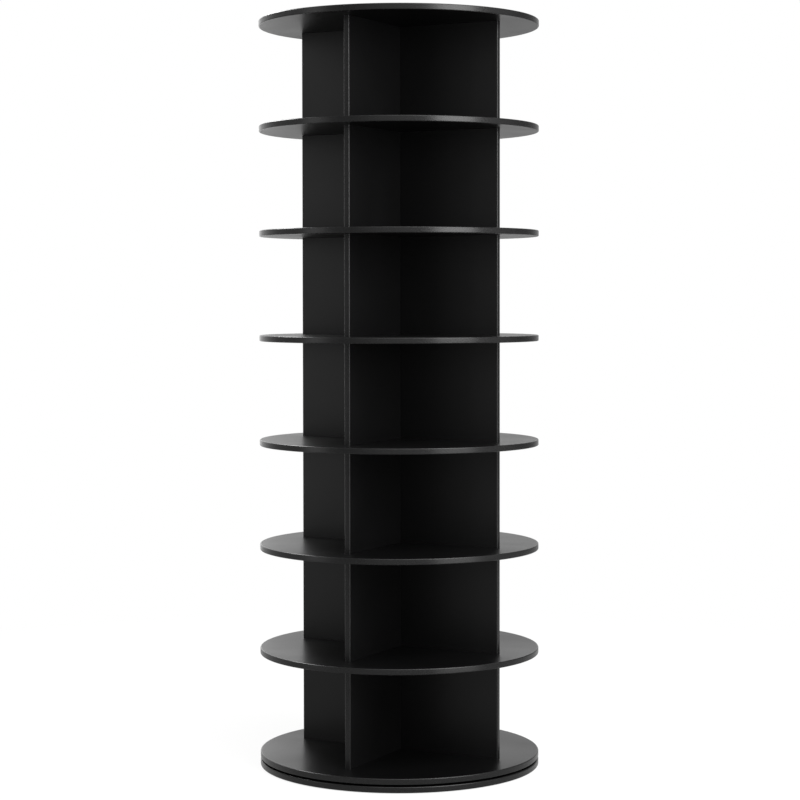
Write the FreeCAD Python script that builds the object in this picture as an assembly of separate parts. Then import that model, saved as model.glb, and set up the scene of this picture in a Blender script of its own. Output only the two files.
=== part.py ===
import FreeCAD, Part
import os

# Rotating shoe tower. Seven tiers of cross-shaped dividers stand between eight round boards.
# Loose tenons pass through the round boards and key each divider to the one above it.
# The tower turns on a ring of rollers and a centre pivot, sunk into a round base of its own size.
# Millimetres, +Z up. The origin is on the turning axis, at the floor.

Vector = FreeCAD.Vector
UP = Vector(0, 0, 1)
CENTRE = Vector(0, 0, 0)

# ---- Driving dimensions ---------------------------------------------------------------------

# Round boards
disc_d = 600.0           # diameter of the shelves, the top, the bottom and the base
disc_t = 12.7            # thickness of each of them
tier_count = 7
tier_clear = 211.0       # clear height of a tier

# Dividers: a long board along X, a front half and a rear half along Y, on every tier
divider_t = 12.7
divider_reach = 236.0    # from the axis to the outer end of each wing
divider_arris = 1.5      # eased upright edges at the outer ends

# Loose tenons of beech, glued into the dividers' edges
tenon_len = 40.0
tenon_t = 6.0
tenon_bite = 12.0        # into the edge of a divider
tenon_place = 150.0      # from the axis to the middle of a tenon
end_slot_depth = 8.0     # slots in the top and the bottom board, which don't go through
tenon_clear = 0.15       # between a tenon and each side of its slot
tenon_end_clear = 0.5    # beyond each end of a tenon

# Roller ring between the base and the bottom board
base_gap = 4.0           # open gap between the two boards at the rim
track_d = 305.0          # outer diameter of both tracks
track_width = 27.5
track_t = 1.5
roller_d = 5.0
roller_len = 10.0
roller_count = 6
roller_inset = 4.0       # from the track's inner edge to the rollers' inner ends
roller_clear = 0.15      # between a roller and each track
cage_t = 3.0
cage_rim = 2.5           # cage left beyond each end of a roller
window_clear = 0.3       # around each roller in its window of the cage
pocket_clear = 0.5       # around the lower track in the base

# Pan-head screws that hold the upper track
screw_count = 3
screw_angle = 45.0       # of the first screw, from +X, clear of the tenons above
screw_d = 4.0
screw_head_d = 8.0
screw_head_h = 2.2
screw_inset = 5.0        # from the track's outer edge to the screw circle
screw_clear = 0.25       # around the shank in the track
screw_floor = 3.2        # board left above a screw's end
pilot_clear = 0.05       # around the shank in its pilot hole

# Centre pivot, fixed in the base and turning in the bottom board
pivot_d = 16.0
pivot_floor = 3.0        # board left under and above the pivot
pivot_seat_clear = 0.02  # around the pivot in the base
pivot_run_clear = 0.06   # around the pivot in the bottom board
pivot_end_clear = 0.5

# Felt glide pads under the base
pad_side = 25.0
pad_t = 1.5
pad_count = 4
pad_inset = 40.0         # from the base's rim to the middle of a pad
pad_angle = 45.0         # of the first pad, from +X

# ---- Places that follow from them -----------------------------------------------------------

disc_r = disc_d / 2
tier_pitch = tier_clear + disc_t
base_low = pad_t
base_high = base_low + disc_t
bottom_low = base_high + base_gap
first_floor = bottom_low + disc_t
top_low = first_floor + tier_count * tier_pitch - disc_t
wing_angles = (0.0, 90.0, 180.0, 270.0)

track_r = track_d / 2
track_inner_r = track_r - track_width
roller_space = roller_d + 2 * roller_clear
pocket_floor = bottom_low - 2 * track_t - roller_space
roller_z = pocket_floor + track_t + roller_space / 2
roller_r = track_inner_r + roller_inset + roller_len / 2
screw_r = track_r - screw_inset
screw_top = first_floor - screw_floor
pivot_low = base_low + pivot_floor
pivot_high = first_floor - pivot_floor - pivot_end_clear


# ---- Basic forms ----------------------------------------------------------------------------

def cylinder(radius, low, high, x=0.0):
    return Part.makeCylinder(radius, high - low, Vector(x, 0, low))


def block(middle, size):
    """Box of a size (x, y, z), centred on a point."""
    corner = [place - side / 2 for place, side in zip(middle, size)]
    return Part.makeBox(*size, Vector(*corner))


def around(shape, angle):
    """Copy of a shape turned about the axis."""
    copy = shape.copy()
    copy.rotate(CENTRE, UP, angle)
    return copy


def ring_of(shape, count, first_angle=0.0):
    return [around(shape, first_angle + i * 360.0 / count) for i in range(count)]


def raised(shape, height):
    copy = shape.copy()
    copy.translate(Vector(0, 0, height))
    return copy


def save(name, solids):
    shape = solids[0] if len(solids) == 1 else Part.makeCompound(solids)
    shape.exportStep("parts/" + name + ".step")


# ---- Loose tenons and the slots that take them ----------------------------------------------

def upright_tenon(low, high, clear=0.0, end_clear=0.0):
    """Tenon on the wing along +X, or its slot when it is given a clearance."""
    size = (tenon_len + 2 * clear, tenon_t + 2 * clear, high - low + 2 * end_clear)
    return block((tenon_place, 0, (low + high) / 2), size)


def upright_slots(low, high):
    slot = upright_tenon(low, high, tenon_clear)
    return [around(slot, angle) for angle in wing_angles]


def cross_tenon(clear=0.0, end_clear=0.0):
    """Tenon through the long divider into both half dividers, at the middle of a tier."""
    length = divider_t + 2 * tenon_bite + 2 * end_clear
    size = (tenon_t + 2 * clear, length, tenon_len + 2 * clear)
    return block((0, 0, tier_clear / 2), size)


def tier_floors():
    return [first_floor + i * tier_pitch for i in range(tier_count)]


def shelf_tenons():
    """Through every shelf, from the divider below into the divider above."""
    tenons = []
    for floor in tier_floors()[1:]:
        tenon = upright_tenon(floor - disc_t - tenon_bite, floor + tenon_bite)
        tenons += [around(tenon, angle) for angle in wing_angles]
    return tenons


def end_tenons():
    """In the blind slots of the bottom and the top board."""
    bottom = upright_tenon(first_floor - end_slot_depth + tenon_end_clear, first_floor + tenon_bite)
    top = upright_tenon(top_low - tenon_bite, top_low + end_slot_depth - tenon_end_clear)
    return [around(tenon, angle) for tenon in (bottom, top) for angle in wing_angles]


# ---- Round boards ---------------------------------------------------------------------------

def shelf_disc(low):
    high = low + disc_t
    return cylinder(disc_r, low, high).cut(upright_slots(low, high))


def top_disc():
    return cylinder(disc_r, top_low, top_low + disc_t).cut(upright_slots(top_low, top_low + end_slot_depth))


def bottom_disc():
    slots = upright_slots(first_floor - end_slot_depth, first_floor)
    pilot = cylinder(screw_d / 2 + pilot_clear, bottom_low, screw_top, screw_r)
    pivot_bore = cylinder(pivot_d / 2 + pivot_run_clear, bottom_low, pivot_high + pivot_end_clear)
    board = cylinder(disc_r, bottom_low, first_floor)
    return board.cut(slots + ring_of(pilot, screw_count, screw_angle) + [pivot_bore])


def base_disc():
    pocket = cylinder(track_r + pocket_clear, pocket_floor, base_high)
    pivot_seat = cylinder(pivot_d / 2 + pivot_seat_clear, pivot_low, pocket_floor)
    return cylinder(disc_r, base_low, base_high).cut([pocket, pivot_seat])


# ---- Dividers -------------------------------------------------------------------------------

def divider(start, end, cross_mortise):
    """Board along X that stands on height 0, with a mortise above and below on each wing."""
    length = end - start
    board = block(((start + end) / 2, 0, tier_clear / 2), (length, divider_t, tier_clear))
    board = board.makeChamfer(divider_arris, outer_edges(board))
    low = upright_tenon(-tenon_bite, tenon_bite, tenon_clear, tenon_end_clear)
    mortises = [low, raised(low, tier_clear), cross_mortise]
    if start < 0:
        mortises += [around(mortise, 180) for mortise in mortises[:2]]
    return board.cut(mortises)


def outer_edges(board):
    """The upright edges at the full reach of a divider."""
    edges = []
    for edge in board.Edges:
        first, last = edge.Vertexes
        upright = abs(first.Z - last.Z) > tier_clear / 2
        outer = abs(first.X) > divider_reach / 2
        if upright and outer:
            edges.append(edge)
    return edges


def long_divider():
    return divider(-divider_reach, divider_reach, cross_tenon(tenon_clear, tenon_end_clear))


def half_divider(angle):
    mortise = around(cross_tenon(tenon_clear, tenon_end_clear), 90)
    return around(divider(divider_t / 2, divider_reach, mortise), angle)


# ---- Roller ring and pivot ------------------------------------------------------------------

def flat_ring(inner_r, outer_r, low, high):
    return cylinder(outer_r, low, high).cut(cylinder(inner_r, low, high))


def upper_track():
    low = bottom_low - track_t
    hole = cylinder(screw_d / 2 + screw_clear, low, bottom_low, screw_r)
    track = flat_ring(track_inner_r, track_r, low, bottom_low)
    return track.cut(ring_of(hole, screw_count, screw_angle))


def track_screw():
    """Pan-head screw driven up through the upper track into the bottom board."""
    head_high = bottom_low - track_t
    head = cylinder(screw_head_d / 2, head_high - screw_head_h, head_high, screw_r)
    return head.fuse(cylinder(screw_d / 2, head_high, screw_top, screw_r))


def roller():
    start = Vector(roller_r - roller_len / 2, 0, roller_z)
    return Part.makeCylinder(roller_d / 2, roller_len, start, Vector(1, 0, 0))


def roller_cage():
    reach = roller_len / 2 + cage_rim
    low = roller_z - cage_t / 2
    high = roller_z + cage_t / 2
    window_size = (roller_len + 2 * window_clear, roller_d + 2 * window_clear, cage_t)
    window = block((roller_r, 0, roller_z), window_size)
    return flat_ring(roller_r - reach, roller_r + reach, low, high).cut(ring_of(window, roller_count))


# ---- Every piece, saved under its own name --------------------------------------------------

def save_base():
    pad = block((disc_r - pad_inset, 0, pad_t / 2), (pad_side, pad_side, pad_t))
    save("base_disc", [base_disc()])
    save("glide_pads", ring_of(pad, pad_count, pad_angle))


def save_roller_ring():
    save("lower_track", [flat_ring(track_inner_r, track_r, pocket_floor, pocket_floor + track_t)])
    save("upper_track", [upper_track()])
    save("track_screws", ring_of(track_screw(), screw_count, screw_angle))
    save("roller_cage", [roller_cage()])
    for i, one_roller in enumerate(ring_of(roller(), roller_count)):
        save("roller_%d" % (i + 1), [one_roller])
    save("centre_pivot", [cylinder(pivot_d / 2, pivot_low, pivot_high)])


def save_round_boards():
    save("bottom_disc", [bottom_disc()])
    for i, floor in enumerate(tier_floors()[1:]):
        save("shelf_disc_%d" % (i + 1), [shelf_disc(floor - disc_t)])
    save("top_disc", [top_disc()])


def save_dividers():
    boards = {
        "long_divider": long_divider(),
        "front_divider": half_divider(-90),
        "rear_divider": half_divider(90),
    }
    for i, floor in enumerate(tier_floors()):
        for name, board in boards.items():
            save("%s_%d" % (name, i + 1), [raised(board, floor)])


def save_tenons():
    save("shelf_tenons", shelf_tenons())
    save("end_tenons", end_tenons())
    save("cross_tenons", [raised(cross_tenon(), floor) for floor in tier_floors()])


os.makedirs("parts", exist_ok=True)
save_base()
save_roller_ring()
save_round_boards()
save_dividers()
save_tenons()
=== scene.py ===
"""Rotating shoe tower: boards, joinery, turntable and finishes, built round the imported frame.

Metres, +Z up. The origin is on the turning axis, at the floor. Long dividers run along X.
"""

import math
from contextlib import contextmanager

import bmesh
import bpy
from bpy.props import FloatProperty, FloatVectorProperty, IntProperty, PointerProperty
from mathutils import Matrix, Vector


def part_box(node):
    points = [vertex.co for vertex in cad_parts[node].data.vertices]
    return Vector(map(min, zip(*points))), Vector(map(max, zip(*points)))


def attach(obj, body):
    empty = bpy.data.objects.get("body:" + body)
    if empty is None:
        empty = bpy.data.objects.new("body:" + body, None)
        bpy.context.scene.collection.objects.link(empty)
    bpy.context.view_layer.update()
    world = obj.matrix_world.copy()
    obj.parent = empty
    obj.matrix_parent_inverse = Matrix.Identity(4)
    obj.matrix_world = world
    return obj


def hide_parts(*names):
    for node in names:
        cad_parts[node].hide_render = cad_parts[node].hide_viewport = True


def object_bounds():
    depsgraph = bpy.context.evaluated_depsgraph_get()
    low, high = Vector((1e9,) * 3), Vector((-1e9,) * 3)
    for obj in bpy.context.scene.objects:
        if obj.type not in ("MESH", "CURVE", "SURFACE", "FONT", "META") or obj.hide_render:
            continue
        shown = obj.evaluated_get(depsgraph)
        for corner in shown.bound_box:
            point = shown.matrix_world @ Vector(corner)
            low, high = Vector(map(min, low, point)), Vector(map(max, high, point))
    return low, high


bl_info = {
    "name": "Rotating Shoe Tower",
    "version": (1, 0, 0),
    "blender": (4, 5, 0),
    "location": "View3D > Sidebar > Shoe Tower",
    "description": "Builds a round shoe tower, its joinery and its turntable on the packed frame",
    "category": "Add Mesh",
}

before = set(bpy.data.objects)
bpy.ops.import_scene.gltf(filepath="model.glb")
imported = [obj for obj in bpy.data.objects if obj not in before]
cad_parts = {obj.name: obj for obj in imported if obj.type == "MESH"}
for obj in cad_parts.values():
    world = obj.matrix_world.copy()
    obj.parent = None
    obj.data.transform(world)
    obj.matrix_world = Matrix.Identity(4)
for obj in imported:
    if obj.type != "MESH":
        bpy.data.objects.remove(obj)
CAD_LOW, CAD_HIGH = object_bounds()

TIERS = 7
SHELVES = 6
ROLLERS = 6
SCREWS = 3
WINGS = 4

X, Y, Z = 0, 1, 2
QUARTER = math.pi / 2
SQUARE = 0.99      # cosine over which a face or an edge counts as square to another
HAIR = 0.0001      # places closer than this are taken as one
PAST = 0.001       # how far a cutting solid runs past a face
WELD = 0.000005    # edges shorter than this are welded after a cut

# Places of the edge band and the core in a board's list of finishes, after its laminate
BAND, CORE = 1, 2


# ---- Sizes and colours that a user would change ---------------------------------------------

def length(label, text, value):
    return FloatProperty(
        name=label, description=text, default=value, min=0.0, precision=5, unit="LENGTH"
    )


def share(label, text, value, most=1.0):
    return FloatProperty(name=label, description=text, default=value, min=0.0, max=most)


def power(label, text, value):
    return share(label, "Power of " + text, value, 1000.0)


def colour(label, text, value):
    return FloatVectorProperty(
        name=label, description=text, default=value, min=0.0, max=1.0, subtype="COLOR"
    )


def angle(label, text, degrees):
    return FloatProperty(
        name=label, description=text, default=math.radians(degrees), subtype="ANGLE"
    )


def count(label, text, value, least):
    return IntProperty(name=label, description=text, default=value, min=least)


class BoardSizes(bpy.types.PropertyGroup):
    """Edges of the boards, and the tenons between them."""

    segments: count("Rim segments", "Sides of a round board", 256, 48)
    rim_round: length("Rim rounding", "Radius of a round board's arrises", 0.0020)
    wing_round: length("Wing rounding", "Radius of a divider's outer upright arrises", 0.0025)
    rounding_steps: count("Rounding steps", "Facets across a rounded arris", 5, 1)
    band: length("Edge band", "Thickness of the edge band", 0.0030)
    joint_line: length("Joint line", "Width of the hairline beside the edge band", 0.00015)
    joint_depth: length("Joint depth", "Depth of that hairline", 0.0001)
    tenon_from_axis: length("Tenon place", "From the axis to the middle of a tenon", 0.150)
    tenon_width: length("Tenon width", "Width of a tenon", 0.040)
    tenon_thick: length("Tenon thickness", "Thickness of a tenon", 0.006)
    tenon_bite: length("Tenon bite", "Depth of a tenon in a divider", 0.012)
    slot_clear: length("Slot clearance", "Between a tenon and each side of its slot", 0.00015)
    end_clear: length("End clearance", "Beyond each end of a tenon", 0.0005)
    blind_slot: length("Blind slot", "Depth of the slots in the end boards", 0.008)


class FittingSizes(bpy.types.PropertyGroup):
    """Turntable and glides."""

    track_inner: length("Track bore", "Inner radius of the tracks", 0.125)
    track_outer: length("Track rim", "Outer radius of the tracks", 0.1525)
    track_ease: length("Track edge", "Rounding of the tracks' edges", 0.0002)
    pocket_clear: length("Pocket clearance", "Around the lower track in the base", 0.0005)
    screw_ring: length("Screw circle", "From the axis to a screw", 0.1475)
    screw_turn: angle("Screw angle", "Place of the first screw", 45.0)
    screw_core: length("Screw core", "Radius under the thread", 0.00150)
    screw_crest: length("Screw crest", "Radius over the thread", 0.0020)
    screw_pitch: length("Screw pitch", "Rise of the thread in a turn", 0.0012)
    head_radius: length("Head radius", "Radius of a screw's pan head", 0.004)
    head_high: length("Head height", "Height of a screw's pan head", 0.0022)
    roller_ring: length("Roller circle", "From the axis to a roller's middle", 0.134)
    window_clear: length("Window clearance", "Around a roller in its window", 0.0003)
    pivot_groove: length("Grease groove", "Width of the pivot's grease grooves", 0.0012)
    glue_layer: length("Glue layer", "Thickness of the pads' glue layer", 0.0003)


class Finishes(bpy.types.PropertyGroup):
    """Colours and gloss."""

    shelf: colour("Shelves", "Laminate on the faces of the round boards", (0.0014, 0.0014, 0.0015))
    shelf_rough: share("Shelf roughness", "Roughness of that laminate", 0.33)
    wing: colour("Dividers", "Laminate on the faces of the dividers", (0.0018, 0.0018, 0.0019))
    wing_rough: share("Divider roughness", "Roughness of that laminate", 0.36)
    board_ior: share("Board sheen", "Index of refraction of the laminate's lacquer", 1.32, 3.0)
    band: colour("Edge band", "Edge band round the boards", (0.0050, 0.0050, 0.0051))
    band_rough: share("Band roughness", "Roughness of the edge band", 0.27)
    band_ior: share("Band sheen", "Index of refraction of the edge band", 1.32, 3.0)
    chip_light: colour("Light chips", "Light chips in the boards' core", (0.50, 0.36, 0.22))
    chip_dark: colour("Dark chips", "Dark chips in the boards' core", (0.23, 0.14, 0.075))
    beech_light: colour("Light beech", "Early wood of the tenons", (0.60, 0.41, 0.24))
    beech_dark: colour("Dark beech", "Late wood of the tenons", (0.44, 0.27, 0.14))
    zinc: colour("Zinc", "Zinc plate on the steel", (0.62, 0.63, 0.65))
    nylon: colour("Nylon", "Moulded nylon of the cage", (0.70, 0.68, 0.60))
    felt: colour("Felt", "Pressed wool felt of the glides", (0.035, 0.032, 0.030))
    glue: colour("Glue layer", "Foam glue layer above the felt", (0.62, 0.61, 0.57))


class StageSettings(bpy.types.PropertyGroup):
    """Camera, floor and light."""

    distance: length("Distance", "From the camera to the axis, level", 4.6033)
    height: length("Camera height", "Camera above the floor", 1.0095)
    azimuth: angle("Azimuth", "Where the camera stands round the axis", 27.15)
    yaw: angle("Yaw", "How far the camera turns off the axis", -0.024)
    tilt: angle("Tilt", "How far the camera looks down", 1.847)
    roll: angle("Roll", "How far the camera leans", -0.070)
    lens: FloatProperty(
        name="Lens", description="Focal length in millimetres", default=96.21, min=1.0
    )
    shift: FloatProperty(
        name="Shift", description="Upright shift of the lens, in picture widths", default=-0.0439
    )
    floor_side: length("Floor side", "Side of the floor", 7.0)
    floor: colour("Floor", "Colour of the floor", (0.80, 0.80, 0.79))
    floor_glow: share("Floor whiteness", "How much of the floor shows as plain white", 0.85)
    floor_gloss: share("Floor in gloss", "Brightness of that white in gloss", 0.62)
    shadow_reach: length("Shadow reach", "From the axis to where the floor is plain white", 2.2)
    ambient: share("Surroundings", "Light of the room on matt faces", 0.38, 4.0)
    far_corner: share("Far corner", "Brightness of the room's far right corner in gloss", 0.25)
    left_side: share("Left side", "Brightness of the room's left side in gloss", 0.5)
    sun: share("Ceiling light", "Even light from above", 1.9, 20.0)
    key: power("Key light", "the tall softbox on the right", 58.0)
    middle_light: power("Middle light", "the softbox under it", 7.5)
    low_light: power("Low light", "the small softbox near the floor", 2.2)
    left_light: power("Left light", "the softbox on the left", 7.5)
    high_left: power("High left light", "the softbox high on the left", 70.0)
    high_right: power("High right light", "the softbox high on the right", 40.0)
    rear_light: power("Rear light", "the softbox behind the tower", 4.0)


GROUPS = {
    "tower_boards": BoardSizes,
    "tower_fittings": FittingSizes,
    "tower_finishes": Finishes,
    "tower_stage": StageSettings,
}


def boards():
    return bpy.context.scene.tower_boards


def fittings():
    return bpy.context.scene.tower_fittings


def finishes():
    return bpy.context.scene.tower_finishes


# ---- Working on one mesh at a time ----------------------------------------------------------

def deselect():
    bpy.ops.object.select_all(action="DESELECT")


def activate(piece):
    """Makes one piece the only selected object."""
    deselect()
    piece.select_set(True)
    bpy.context.view_layer.objects.active = piece


@contextmanager
def editing(piece):
    """Edit mode on one piece, and back."""
    activate(piece)
    bpy.ops.object.mode_set(mode="EDIT")
    yield
    bpy.ops.object.mode_set(mode="OBJECT")


def pick(piece, kind, test):
    """Selects the vertices, edges or faces that pass a test, in edit mode."""
    bpy.ops.mesh.select_mode(type=kind)
    bpy.ops.mesh.select_all(action="DESELECT")
    mesh = bmesh.from_edit_mesh(piece.data)
    parts = {"VERT": mesh.verts, "EDGE": mesh.edges, "FACE": mesh.faces}[kind]
    chosen = [part for part in parts if test(part)]
    if not chosen:
        raise RuntimeError("nothing was picked on " + piece.name)
    for part in chosen:
        part.select_set(True)
    mesh.select_flush_mode()
    bmesh.update_edit_mesh(piece.data)


def pick_flat(piece, axis, side, test):
    """Selects the faces that look to one side of an axis, and whose middle passes a test."""
    pick(piece, "FACE", lambda f: f.normal[axis] * side > SQUARE and test(f.calc_center_median()))


def middle(edge):
    return (edge.verts[0].co + edge.verts[1].co) / 2


def run(edge):
    """Direction of an edge, without its sign."""
    step = (edge.verts[1].co - edge.verts[0].co).normalized()
    return Vector(abs(part) for part in step)


def is_level(edge):
    return run(edge).z < 0.5


def is_upright(edge):
    return run(edge).z > SQUARE


def along(axis, amount):
    """Three numbers: an amount on one axis, and 0 on the others."""
    return tuple(amount if i == axis else 0 for i in range(3))


def bare(made):
    """The primitive just added, with its place put into its mesh."""
    piece = bpy.context.object
    bpy.ops.object.transform_apply(location=True, rotation=True, scale=True)
    piece.name = made
    return piece


def cylinder(radius, low, high, sides, x=0.0):
    deselect()
    bpy.ops.mesh.primitive_cylinder_add(
        vertices=sides, radius=radius, depth=high - low, location=(x, 0.0, (low + high) / 2)
    )
    return bare("turned")


def block(low, high):
    """Box between two corners."""
    low, high = Vector(low), Vector(high)
    deselect()
    bpy.ops.mesh.primitive_cube_add(size=1.0, location=(low + high) / 2, scale=high - low)
    return bare("sawn")


def slice_at(axis, *places):
    """Cuts lines round the whole piece in edit mode, square to an axis."""
    for place in places:
        bpy.ops.mesh.select_all(action="SELECT")
        bpy.ops.mesh.bisect(plane_co=along(axis, place), plane_no=along(axis, 1))


def sink(axis, depth):
    """Pushes the picked faces along an axis, with upright walls."""
    bpy.ops.mesh.extrude_region_move(TRANSFORM_OT_translate={"value": along(axis, depth)})


def bevel(width, steps):
    bpy.ops.mesh.bevel(offset=width, segments=steps, profile=0.5, affect="EDGES")


def weld(distance):
    bpy.ops.mesh.select_all(action="SELECT")
    bpy.ops.mesh.remove_doubles(threshold=distance)


def combine(piece, tool, how="DIFFERENCE"):
    """Cuts or joins a second solid, which is used up, and welds the hairline edges it leaves."""
    activate(piece)
    change = piece.modifiers.new("combine", "BOOLEAN")
    change.operation = how
    change.solver = "EXACT"
    change.object = tool
    bpy.ops.object.modifier_apply(modifier=change.name)
    bpy.data.objects.remove(tool)
    with editing(piece):
        weld(WELD)


def join(pieces):
    """One object out of several."""
    activate(pieces[0])
    for piece in pieces:
        piece.select_set(True)
    bpy.ops.object.join()
    return pieces[0]


def twin(piece, turn=0.0, lift=0.0):
    """Copy with its own mesh, turned about the axis and lifted."""
    copy = piece.copy()
    copy.data = piece.data.copy()
    bpy.context.collection.objects.link(copy)
    copy.data.transform(Matrix.Translation((0, 0, lift)) @ Matrix.Rotation(turn, 4, "Z"))
    return copy


def ring(piece, number, first=0.0):
    """Copies of a piece all round the axis. The piece itself is used up."""
    made = [twin(piece, first + i * math.tau / number) for i in range(number)]
    bpy.data.objects.remove(piece)
    return made


def settle(piece, edge_angle=40.0):
    """Smooth shading that leaves flat faces flat."""
    activate(piece)
    bpy.ops.object.shade_smooth_by_angle(angle=math.radians(edge_angle))
    weight = piece.modifiers.new("flat faces", "WEIGHTED_NORMAL")
    weight.mode = "FACE_AREA"
    weight.weight = 100
    weight.keep_sharp = True
    bpy.ops.object.modifier_apply(modifier=weight.name)


def finish_with(piece, *materials):
    piece.data.materials.clear()
    for material in materials:
        piece.data.materials.append(material)


def paint(piece, index, test):
    """Gives the faces that pass a test one of the piece's materials."""
    for face in piece.data.polygons:
        if test(face.center, face.normal):
            face.material_index = index


def dress(piece, name, body, node):
    """Names a finished piece, and ties it to its body and its node."""
    piece.name = name
    piece.data.name = name
    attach(piece, body)
    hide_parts(node)


def stack(board, base, number, *kinds):
    """Copies of a finished board at the heights of its nodes. The board itself is used up.

    A kind is the start of its nodes' names, the start of its pieces' names, and a turn.
    """
    for nodes, names, turn in kinds:
        for i in range(1, number + 1):
            node = "%s_%d" % (nodes, i)
            copy = twin(board, turn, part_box(node)[0].z - base)
            dress(copy, "%s_%d" % (names, i), "tower", node)
    bpy.data.objects.remove(board)


# ---- Shader node groups ---------------------------------------------------------------------

def supply(socket, value):
    """Gives an input another socket's value, a number or a colour."""
    if isinstance(value, bpy.types.NodeSocket):
        socket.id_data.links.new(value, socket)
    elif socket.type == "RGBA":
        socket.default_value = (*value[:3], 1.0)
    else:
        socket.default_value = value


def feed(node, **values):
    """Supplies a node's inputs by their labels, with _ for each space."""
    for label, value in values.items():
        supply(node.inputs[label.replace("_", " ")], value)


def add(tree, kind, **values):
    """New node. A setting's name is in lower case, and an input's label starts with a capital."""
    made = tree.nodes.new("ShaderNode" + kind)
    for name, value in values.items():
        if name.islower():
            setattr(made, name, value)
        else:
            feed(made, **{name: value})
    return made


def group(name, inputs, outputs):
    """Empty shader group with a Vector and other inputs. Only the output Color is a colour."""
    tree = bpy.data.node_groups.new(name, "ShaderNodeTree")
    face = tree.interface
    face.new_socket(name="Vector", in_out="INPUT", socket_type="NodeSocketVector")
    for label, value in inputs.items():
        kind = "NodeSocketColor" if isinstance(value, tuple) else "NodeSocketFloat"
        face.new_socket(name=label, in_out="INPUT", socket_type=kind).default_value = value
    for label in outputs:
        kind = "NodeSocketColor" if label == "Color" else "NodeSocketFloat"
        face.new_socket(name=label, in_out="OUTPUT", socket_type=kind)
    given = tree.nodes.new("NodeGroupInput").outputs
    return tree, given, tree.nodes.new("NodeGroupOutput")


def noise(tree, vector, scale, detail=2.0, rough=0.5, warp=0.0):
    made = add(
        tree, "TexNoise",
        Vector=vector, Scale=scale, Detail=detail, Roughness=rough, Distortion=warp,
    )
    return made.outputs["Fac"]


def maths(tree, work, first, second):
    made = add(tree, "Math", operation=work)
    supply(made.inputs[0], first)
    supply(made.inputs[1], second)
    return made.outputs["Value"]


def weigh(tree, first, weight, second):
    """Mean of two values, by the weight of the first."""
    parts = maths(tree, "MULTIPLY", first, weight), maths(tree, "MULTIPLY", second, 1.0 - weight)
    return maths(tree, "ADD", *parts)


def fit_range(tree, value, low, high, to_low=0.0, to_high=1.0):
    made = add(
        tree, "MapRange", Value=value, From_Min=low, From_Max=high, To_Min=to_low, To_Max=to_high
    )
    return made.outputs["Result"]


def blend(tree, factor, first, second):
    """Mixes two colours, each of them a socket or numbers."""
    made = add(tree, "Mix", data_type="RGBA")
    for place, value in zip((0, 6, 7), (factor, first, second)):
        supply(made.inputs[place], value)
    return made.outputs[2]


def choose(tree, factor, first, second):
    """First value where the factor is 0, and second where it is 1."""
    made = add(tree, "Mix", data_type="FLOAT", Factor=factor, A=first, B=second)
    return made.outputs["Result"]


def squeeze(tree, vector, upright):
    """Vector with its Z scaled."""
    return add(tree, "Mapping", Vector=vector, Scale=(1.0, 1.0, upright)).outputs["Vector"]


def pressed_texture():
    """Fine pebbled surface of laminate and moulded plastic, with broad uneven gloss."""
    inputs = {"Grain": 330.0, "Gloss Patch": 5.0, "Rough Low": 0.35, "Rough High": 0.45}
    tree, given, end = group("Pressed texture", inputs, ("Height", "Roughness", "Tone"))
    where = given["Vector"]
    pebble = noise(tree, where, given["Grain"], 3.0, 0.55)
    coarse = noise(tree, where, maths(tree, "MULTIPLY", given["Grain"], 0.31))
    height = maths(tree, "ADD", pebble, maths(tree, "MULTIPLY", coarse, 0.8))
    patch = noise(tree, where, given["Gloss Patch"], 3.0, warp=0.6)
    gloss = weigh(tree, patch, 0.6, pebble)
    rough = fit_range(tree, gloss, 0.32, 0.68, given["Rough Low"], given["Rough High"])
    feed(end, Height=height, Roughness=rough, Tone=fit_range(tree, pebble, 0.35, 0.65))
    return tree


def wood_grain():
    """Long grain with short dark flecks. The vector's Z runs along the grain."""
    inputs = {"Light": (0.6, 0.4, 0.24, 1.0), "Dark": (0.44, 0.27, 0.14, 1.0), "Fleck": 0.35}
    tree, given, end = group("Wood grain", inputs, ("Color", "Height"))
    where = squeeze(tree, given["Vector"], 0.06)
    rings = noise(tree, where, 180.0, 3.0, 0.6, 0.8)
    pores = noise(tree, where, 1400.0, rough=0.6)
    pore_brown = (0.20, 0.11, 0.05)
    flecks = fit_range(tree, pores, 0.62, 0.72, 0.0, given["Fleck"])
    base = blend(tree, fit_range(tree, rings, 0.35, 0.65), given["Light"], given["Dark"])
    height = maths(tree, "SUBTRACT", rings, flecks)
    feed(end, Color=blend(tree, flecks, base, pore_brown), Height=height)
    return tree


def wood_chips():
    """Pressed wood chips of a board's core."""
    inputs = {"Light": (0.5, 0.36, 0.22, 1.0), "Dark": (0.23, 0.14, 0.075, 1.0), "Chip": 420.0}
    tree, given, end = group("Wood chips", inputs, ("Color", "Height"))
    where = squeeze(tree, given["Vector"], 2.2)
    chips = add(
        tree, "TexVoronoi", feature="F1", Vector=where, Scale=given["Chip"], Randomness=1.0
    ).outputs
    shade = add(tree, "SeparateColor", Color=chips["Color"]).outputs["Red"]
    fibre = noise(tree, where, 900.0, 3.0, 0.6)
    colours = blend(tree, weigh(tree, shade, 0.7, fibre), given["Light"], given["Dark"])
    feed(end, Color=colours, Height=maths(tree, "ADD", chips["Distance"], fibre))
    return tree


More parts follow.
